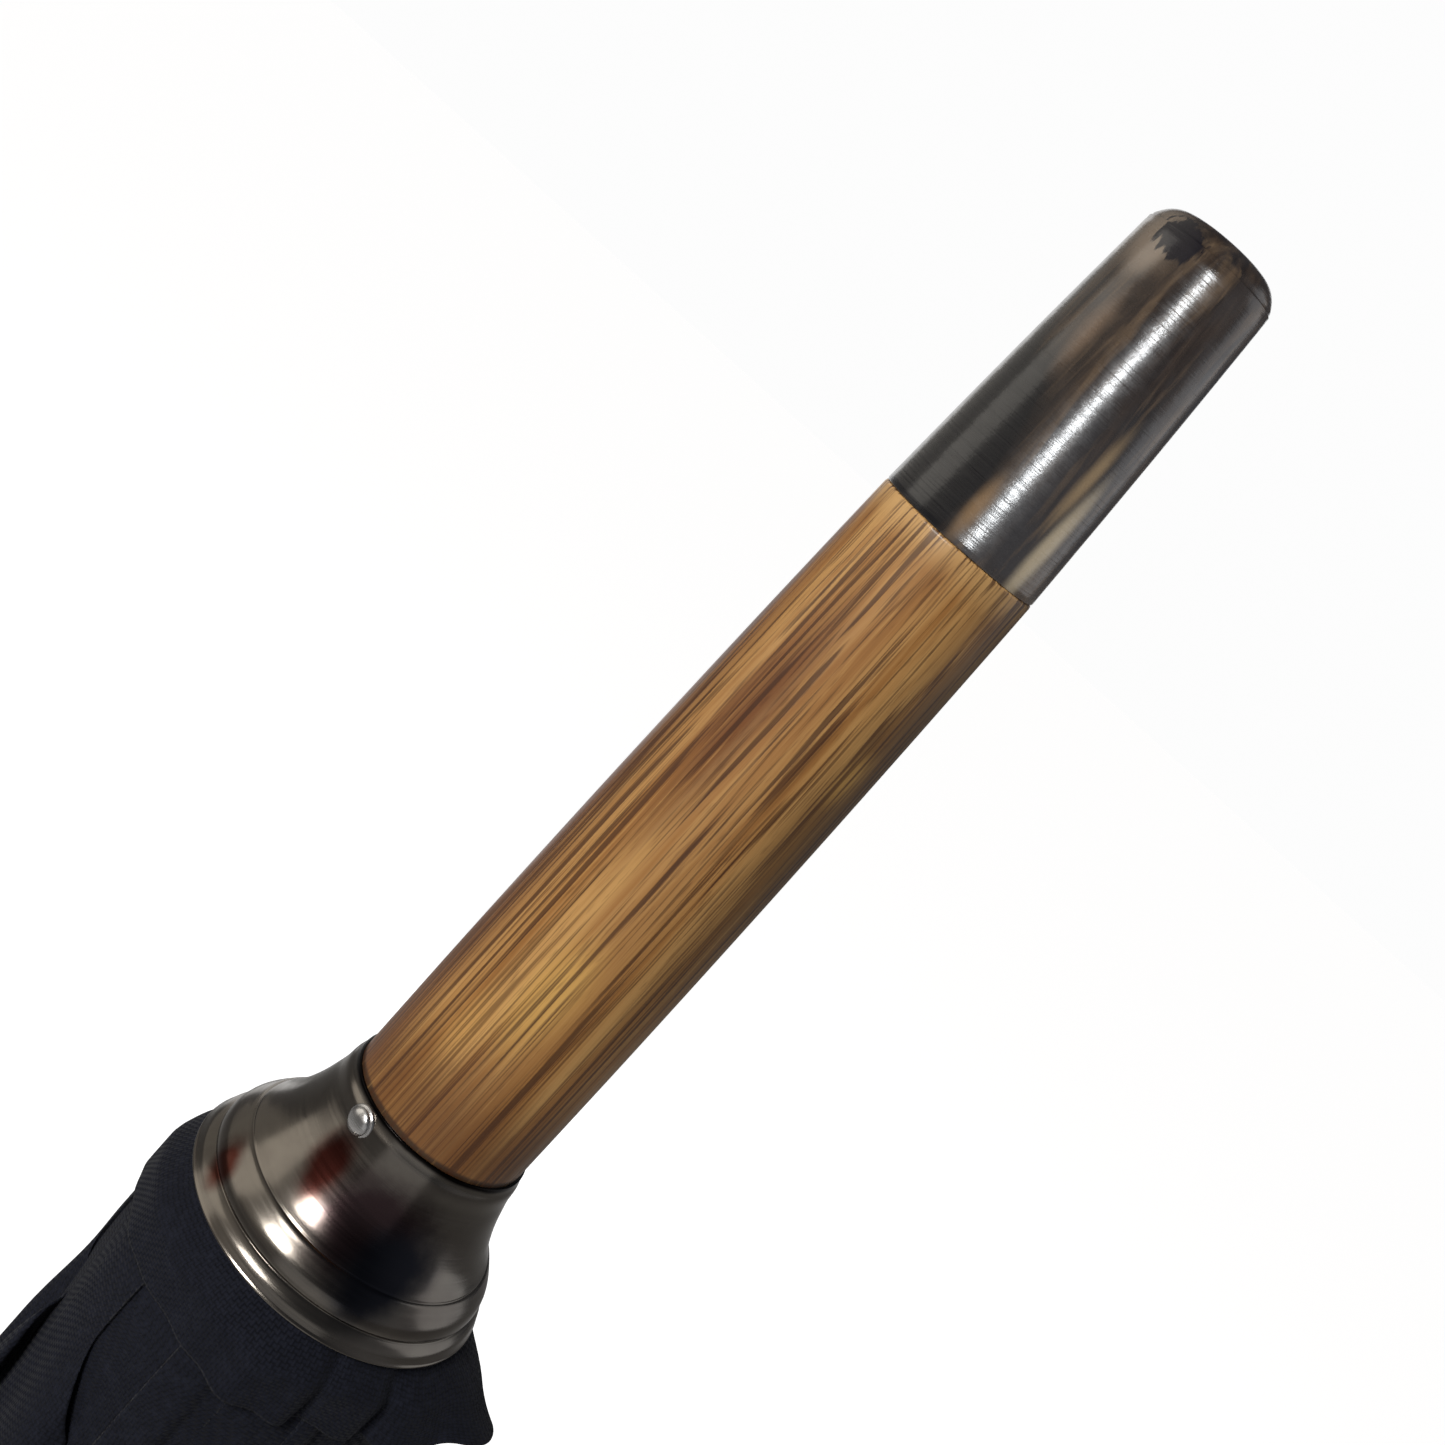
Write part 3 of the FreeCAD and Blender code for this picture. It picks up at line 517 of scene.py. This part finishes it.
def make_rivet():
    """A small bright dome in the cup's neck."""
    out = Vector((-math.sin(RIVET_TURN), -math.cos(RIVET_TURN), 0))
    turn = out.to_track_quat("Z", "Y").to_matrix().to_4x4()
    rows = [(1.18, -0.35), (1.16, -0.12), (1.02, -0.02), (RIVET_R, -0.03)]
    for t in np.linspace(0.02, 1, 12):
        rows.append((RIVET_R * math.cos(t * math.pi / 2), RIVET_DOME * math.sin(t * math.pi / 2)))
    rivet = lathe("cup_rivet_head", rows, None, "bright_metal", BRIGHT, "cup_rivet", segments=48)
    spot = out * RIVET_OUT + Vector((0, 0, CUP_TOP - RIVET_DROP))
    rivet.data.transform(Matrix.Translation(spot * MM) @ turn)
    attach(rivet, "shaft")


# --- canopy, in mm -------------------------------------------------------------------

RIB_LEAN = math.tan(math.radians(0.5))
RIB_PIVOT = 9.8
RIB_TOP = 1.3
OPEN_RISE = math.cos(math.radians(11.5))
# Radius of the cloth's inner layer at the notch, and how much thicker the pleats are at the hem.
CLOTH_INNER = RIB_PIVOT + RIB_TOP + 0.35
STACK_AT_HEM = 6.2
# Distances down the cloth from the notch's wire: its top edge, where it clears the notch, and
# its hem at a rib and half-way between two.
CLOTH_TOP = -5.5
NOTCH_EDGE = -2.8
CLOTH_AT_RIB = 606.0
CLOTH_AT_MIDDLE = 542.0
# Small pleats on each side of a panel, and where round the panel they are stacked.
LEGS = 38
STACK_AT = STEP / 4
FLAP_GAP = 0.62
STRAP_OUT = 2.15


def half_width(s):
    """Half the panel's width at a distance s from the notch, as it is when open and taut."""
    return np.maximum((RIB_PIVOT + OPEN_RISE * s) * math.sin(STEP / 2), 3.4)


def wobble(theta, s, seed):
    """Slow unevenness of the furled cloth, in mm."""
    x, y = math.cos(theta), math.sin(theta)
    value = noise.noise(Vector((x * 1.6 + seed, y * 1.6, s * 0.011)))
    value += 0.5 * noise.noise(Vector((x * 3.5, y * 3.5 + seed, s * 0.035)))
    return value


def furled_row(s):
    """(angle from the rib, radius) along one row of the furled panel, from this rib to the next."""
    inner = CLOTH_INNER + RIB_LEAN * max(s, 0) + 0.5 * math.exp(-((s / 7) ** 2))
    if s < NOTCH_EDGE:
        inner += 0.22 * (s - NOTCH_EDGE)
    stack = STACK_AT_HEM * max(s, 0) / CLOTH_AT_RIB
    top = inner + stack
    width = 2 * float(half_width(s))
    rise = 0.10 + 1.50 * float(smooth_step((s + 1) / 14))
    over = math.radians(10 + 6 * max(s, 0) / CLOTH_AT_RIB)
    spare = width - inner * STEP
    flap_need = (top + 0.8) * 2 * (STEP / 4 + over)
    share = float(smooth_step(spare / flap_need * 0.9))
    edge = STEP * 0.75 + (STEP / 4 + over) * share
    leg = max((spare - flap_need * share) / (2 * LEGS), 0.02)

    def lift_at(u):
        """How far the flap stands off the pleats, u of the way along it."""
        dip = 0.35 * share * math.exp(-((u - 0.28) / 0.16) ** 2)
        return 0.25 + rise * share * float(smooth_step(u * 1.15)) - dip

    pleats = []
    for j in range(LEGS + 1):
        height = inner + 0.1 + stack * j / LEGS
        side = -1 if j % 2 == 0 else 1
        x = height * math.cos(STACK_AT) - side * leg / 2 * math.sin(STEP / 2)
        y = height * math.sin(STACK_AT) + side * leg / 2 * math.cos(STEP / 2)
        pleats.append((math.atan2(y, x), math.hypot(x, y)))
    path = [(0.0, inner)] + pleats
    start = STACK_AT
    count = 30
    gap = FLAP_GAP * share
    for j in range(1, count + 1):
        t = j / count
        path.append((start + (edge - start) * t, top + lift_at(t)))
    middle = path[-1][1] - gap / 2
    for j in range(1, 6):
        a = math.pi * j / 6
        path.append((edge + gap / 2 * math.sin(a) / middle, middle + gap / 2 * math.cos(a)))
    back = STEP - STACK_AT
    count = 16
    for j in range(count + 1):
        t = j / count
        angle = edge + (back - edge) * t
        u = (angle - start) / (edge - start)
        path.append((angle, top + max(lift_at(u) - gap, 0.12)))
    path += [(STEP - angle, radius) for angle, radius in reversed(pleats)]
    path.append((STEP, inner))
    return np.array(path)


def row_heights():
    """Distances down the panel, closer together near the top."""
    fine = np.linspace(CLOTH_TOP, 46, 64)
    rest = 46 + (CLOTH_AT_RIB - 46) * np.linspace(0, 1, 62)[1:] ** 1.15
    return np.concatenate([fine, rest])


def make_gore(k):
    """One canopy panel, furled in overlapping pleats at rest."""
    rows, cloth, weights = [], [], []
    first = STEP / 2 + STEP * k
    stations = row_heights()
    for s0 in stations:
        path = furled_row(s0)
        angle, radius = path[:, 0], path[:, 1]
        xy = np.stack([radius * np.cos(angle), radius * np.sin(angle)], 1)
        walked = np.concatenate([[0], np.cumsum(np.linalg.norm(np.diff(xy, axis=0), axis=1))])
        across = walked / walked[-1]
        width = 2 * float(half_width(s0))
        share = across.copy()
        for _ in range(12):
            off = radius * np.sin(angle - STEP / 2) - radius[0] * np.sin(STEP * (share - 0.5))
            share = np.clip(across - off / width, 0, 1)
        share = np.maximum.accumulate(share)
        down = (s0 - CLOTH_TOP) / (CLOTH_AT_RIB - CLOTH_TOP)
        hem = CLOTH_AT_RIB - (CLOTH_AT_RIB - CLOTH_AT_MIDDLE) * np.sin(math.pi * across)
        s = CLOTH_TOP + (hem - CLOTH_TOP) * down
        inner = radius[0]
        loose = np.clip((radius - inner) / 1.2, 0, 1)
        stack = STACK_AT_HEM * max(s0, 0) / CLOTH_AT_RIB
        skin = np.clip((radius - inner - stack + 0.3) / 0.5, 0, 1)
        for j in range(len(path)):
            theta = first + angle[j]
            shift = wobble(theta, s[j], 3.0) * loose[j] * (0.35 + 0.9 * down)
            ridge = 0.75 * math.exp(-(((s[j] - 9) / 30) ** 2)) + 0.12
            valley = math.sin(5 * theta + 1.5 * wobble(theta, s[j] * 0.4, 5.0) + s[j] * 0.006 + 0.4) ** 2
            shift += ridge * skin[j] * (0.45 - 1.5 * math.exp(-valley / 0.09))
            r = max(radius[j] + shift, inner)
            turn = 0.03 * wobble(theta + 2.0, s[j], 9.0) * loose[j]
            rows.append((r * math.cos(theta + turn), r * math.sin(theta + turn), NOTCH_WIRE - s[j]))
        cloth.append(np.stack([across * width, s], 1))
        weights.append(share)
    cols = len(path)
    faces = grid_faces(len(stations), cols)
    name = "canopy_panel_%d" % (k + 1)
    mesh = bpy.data.meshes.new(name)
    mesh.from_pydata([tuple(p) for p in np.array(rows) * MM], [], faces)
    mesh.polygons.foreach_set("use_smooth", [True] * len(mesh.polygons))
    mesh.materials.append(CLOTH)
    panel = link(bpy.data.objects.new(name, mesh))
    add_cloth_uv(panel, np.concatenate(cloth))
    bend_between_ribs(panel, np.concatenate(weights))
    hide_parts("gore_%d" % (k + 1))


def bend_between_ribs(panel, share):
    """Sets each point to its share of the way across the panel, as if laid out as its pattern, bakes the
    panel's transform, then puts the furled points back."""
    mesh = panel.data
    furled = np.zeros(len(mesh.vertices) * 3, np.float32)
    mesh.vertices.foreach_get("co", furled)
    laid = np.zeros((len(mesh.vertices), 3), np.float32)
    laid[:, 0] = 0.5 - np.sin(np.arcsin(1 - 2 * np.clip(share, 0, 1)) / 3)
    mesh.vertices.foreach_set("co", laid.ravel())
    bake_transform(panel)
    mesh.vertices.foreach_set("co", furled)
    mesh.update()


def make_rosette():
    """The gathered patch of cloth under the cup, tucked up inside it and frilled at its edge."""
    rows, cols = 40, 420
    points, cloth = [], []
    top = CUP_RIM + 4.3
    length = 10.1
    tuck = 3.3 / length
    cut_r, cut_height = 12.8, 11.0
    for i in range(rows):
        down = i / (rows - 1)
        t = max(down - tuck, 0) / (1 - tuck)
        body = 8.5 + 2.3 * min(down / tuck, 1) + 2.05 * smooth_step((t - 0.05) / 0.5)
        for j in range(cols):
            a = TURN * j / cols
            x, y = math.cos(a), math.sin(a)
            loose = 0.25 + 0.75 * smooth_step((math.cos(a + 0.35) + 0.15) / 0.8)
            folds = math.sin(8 * a + 1.4 * math.sin(2 * a) + 0.6)
            folds += 0.45 * math.sin(19 * a + 2.0 + 2.0 * t)
            uneven = noise.noise(Vector((x * 1.7, y * 1.7, 4.0 + 0.6 * t)))
            turn = (a + 0.06 + math.pi) % TURN - math.pi
            flare = math.exp(-((turn / 0.36) ** 2))
            dart = math.exp(-(((turn + 0.55) / 0.07) ** 2))
            dart += 0.9 * math.exp(-(((turn + 0.98) / 0.06) ** 2))
            r = body + t * loose * (0.45 * folds + 0.4 * uneven) + 5.0 * flare * t ** 1.3
            r -= 1.1 * dart * t ** 0.6
            if t > 0.4:
                r = max(r, 11.9)
            z = top - length * down * (1 + 0.05 * uneven * t)
            z += 2.1 * flare * t * t - 0.3 * t * loose * folds
            points.append((r * x, r * y, z))
            cloth.append((a * cut_r, down * cut_height))
    faces = grid_faces(rows, cols, closed=True)
    rosette = mesh_piece("gathered_rosette", points, faces, "shaft", "canopy_cloth", CLOTH,
                         "rosette")
    add_cloth_uv(rosette, cloth)
    thick = rosette.modifiers.new("cloth", "SOLIDIFY")
    thick.thickness = 0.25 * MM


def strap_radius(s):
    """The strap's inner radius at a distance s from the notch."""
    return CLOTH_INNER + RIB_LEAN * s + STACK_AT_HEM * s / CLOTH_AT_RIB + STRAP_OUT


def make_strap():
    """The open tie strap along the furled cloth, with stitched edges and a snap button."""
    low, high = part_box("tie_strap")
    middle = STEP / 2 + STEP * 2
    z_low, z_high = low.z / MM, high.z / MM
    rows, cols = 90, 25
    width = 20.0
    points, cloth = [], []
    for i in range(rows):
        t = i / (rows - 1)
        z = z_high + (z_low - z_high) * t
        base = strap_radius(NOTCH_WIRE - z)
        for j in range(cols):
            v = j / (cols - 1) - 0.5
            corner = 1 - max(0.0, (t - 0.955) / 0.045) ** 2 * 0.45
            turn = v * width * corner / (base + 0.5)
            lift = 0.25 * math.sin(t * 9.0 + 1.0) * (1 - t * 0.4) + 0.25
            lift += 0.12 * math.exp(-((abs(v) - 0.44) / 0.025) ** 2)
            r = base + lift
            points.append((r * math.cos(middle + turn), r * math.sin(middle + turn), z))
            cloth.append((v * width, t * (z_high - z_low)))
    strap = mesh_piece("tie_band", points, grid_faces(rows, cols), "strap", "strap_cloth",
                       STRAP_CLOTH, "tie_strap")
    add_cloth_uv(strap, cloth)
    thick = strap.modifiers.new("cloth", "SOLIDIFY")
    thick.thickness = 0.7 * MM
    thick.offset = 1.0

    shoulder = curve_through([(4.6, 0.7), (4.2, 1.0), (3.6, 1.15)], 4)
    rows = [(4.7, 0.0), (4.75, 0.35), *shoulder, (3.3, 1.05), (3.1, 1.1), (2.2, 1.35), (1.0, 1.5),
            (0.0, 1.55)]
    button = lathe("snap_button", rows, None, "button_metal", CUP_METAL, "strap_button", segments=72)
    out = Vector((math.cos(middle), math.sin(middle), 0))
    z = z_low + 14
    spot = out * (strap_radius(NOTCH_WIRE - z) + 0.9) + Vector((0, 0, z))
    turn = out.to_track_quat("Z", "Y").to_matrix().to_4x4()
    button.data.transform(Matrix.Translation(spot * MM) @ turn)
    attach(button, "strap")


# --- stage ---------------------------------------------------------------------------


def make_camera():
    """The close view of the tip, from the -Y side, tilted as the photograph is."""
    azimuth, elevation, roll = (math.radians(a) for a in (-88.18, 13.11, 41.81))
    back = Vector((math.cos(elevation) * math.cos(azimuth),
                   math.cos(elevation) * math.sin(azimuth), math.sin(elevation)))
    level = Vector((0, 0, 1)).cross(back).normalized()
    right = level * math.cos(roll) + back.cross(level) * math.sin(roll)
    data = bpy.data.cameras.new("camera")
    data.sensor_width = 36.0
    data.lens = 43.45
    data.clip_start = 0.001
    camera = link(bpy.data.objects.new("camera", data))
    turn = Matrix((right, back.cross(right), back)).transposed()
    away, drop = 0.110, 0.0149
    camera.matrix_world = Matrix.Translation((0, -away, TIP * MM - drop)) @ turn.to_4x4()
    bpy.context.scene.camera = camera


def area_light(name, place, target, size, power, colour=(1, 1, 1)):
    """A rectangular lamp, in metres and watts, that the camera doesn't see."""
    data = bpy.data.lights.new(name, "AREA")
    data.shape = "RECTANGLE"
    data.size, data.size_y = size
    data.energy = power
    data.color = colour
    lamp = link(bpy.data.objects.new(name, data))
    lamp.location = place
    away = Vector(place) - Vector(target)
    lamp.rotation_euler = away.to_track_quat("Z", "Y").to_euler()
    lamp.visible_camera = False
    return lamp


def make_stage():
    """The floor, which only the camera sees as white, and the lamps."""
    floor_mesh = bpy.data.meshes.new("floor")
    reach = 12.0
    level = CAD_BOX[0][2] - 0.0005
    floor_mesh.from_pydata([(-reach, -reach, level), (reach, -reach, level), (reach, reach, level),
                            (-reach, reach, level)], [], [(0, 1, 2, 3)])
    floor = link(bpy.data.objects.new("floor", floor_mesh))
    pale = Nodes("pale_floor")
    path = pale.add("LightPath")
    pale.set(Base_Color=(0.86, 0.86, 0.86, 1.0), Roughness=0.9, Emission_Color=(0.87, 0.87, 0.87, 1.0),
             Emission_Strength=path.outputs["Is Camera Ray"])
    floor_mesh.materials.append(pale.material)
    make_world()
    tip = (0, 0, 0.745)
    area_light("key", (-0.35, -0.75, 1.15), tip, (0.26, 0.26), 7.6, (1.0, 0.98, 0.95))
    area_light("side", (-0.80, -0.15, 0.90), tip, (0.5, 0.7), 0.9, (1.0, 0.95, 0.86))
    area_light("rim", (0.75, 0.30, 1.05), tip, (0.6, 0.8), 0.8, (0.95, 0.97, 1.0))
    area_light("back", (-0.3, 1.6, 0.7), (0, 0, 0.4), (1.4, 1.4), 5.0)
    area_light("fill", (0.3, -1.6, 0.2), (0, 0, 0.35), (1.6, 1.6), 2.5)


def make_streak(horn):
    """A narrow light for the horn alone, seen in its polish as one long line."""
    lamp = area_light("streak", (0.15, -0.86, 0.91), (0, 0, 0.772), (0.10, 0.30), 5.0,
                      (0.95, 0.98, 1.0))
    only = bpy.data.collections.new("streak_lights")
    only.objects.link(horn)
    lamp.light_linking.receiver_collection = only
    all_else = bpy.data.collections.new("key_lights")
    all_else.objects.link(horn)
    all_else.collection_objects[0].light_linking.link_state = "EXCLUDE"
    bpy.data.objects["key"].light_linking.receiver_collection = all_else


def make_world():
    """A studio the camera sees as white. It lights the object dimly, and mostly from the left."""
    world = bpy.data.worlds.new("studio")
    bpy.context.scene.world = world
    world.use_nodes = True
    tree = world.node_tree
    seen = tree.nodes["Background"]
    seen.inputs[0].default_value = (0.98, 0.98, 0.98, 1.0)
    seen.inputs[1].default_value = 1.0
    lit = tree.nodes.new("ShaderNodeBackground")
    where = tree.nodes.new("ShaderNodeTexCoord")
    split = tree.nodes.new("ShaderNodeSeparateXYZ")
    shade = tree.nodes.new("ShaderNodeValToRGB")
    tree.links.new(where.outputs["Generated"], split.inputs[0])
    turned = tree.nodes.new("ShaderNodeMapRange")
    turned.inputs["From Min"].default_value = -1.0
    tree.links.new(split.outputs["X"], turned.inputs["Value"])
    tree.links.new(turned.outputs["Result"], shade.inputs[0])
    stops = shade.color_ramp.elements
    stops[0].position = 0.20
    stops[0].color = (0.34, 0.32, 0.29, 1)
    stops[1].position = 0.42
    stops[1].color = (0.050, 0.050, 0.056, 1)
    right_wall = stops.new(0.78)
    right_wall.color = (0.060, 0.062, 0.068, 1)
    far_right = stops.new(0.97)
    far_right.color = (0.20, 0.20, 0.21, 1)
    tree.links.new(shade.outputs[0], lit.inputs[0])
    lit.inputs[1].default_value = 1.0
    path = tree.nodes.new("ShaderNodeLightPath")
    choose = tree.nodes.new("ShaderNodeMixShader")
    tree.links.new(path.outputs["Is Camera Ray"], choose.inputs[0])
    tree.links.new(lit.outputs[0], choose.inputs[1])
    tree.links.new(seen.outputs[0], choose.inputs[2])
    tree.links.new(choose.outputs[0], tree.nodes["World Output"].inputs[0])
    bpy.context.scene.view_settings.view_transform = "Standard"


make_camera()
make_stage()
finish_frame_nodes()
make_streak(make_horn())
make_stick()
make_cup()
make_rivet()
make_rosette()
for gore in range(RIBS):
    make_gore(gore)
make_strap()
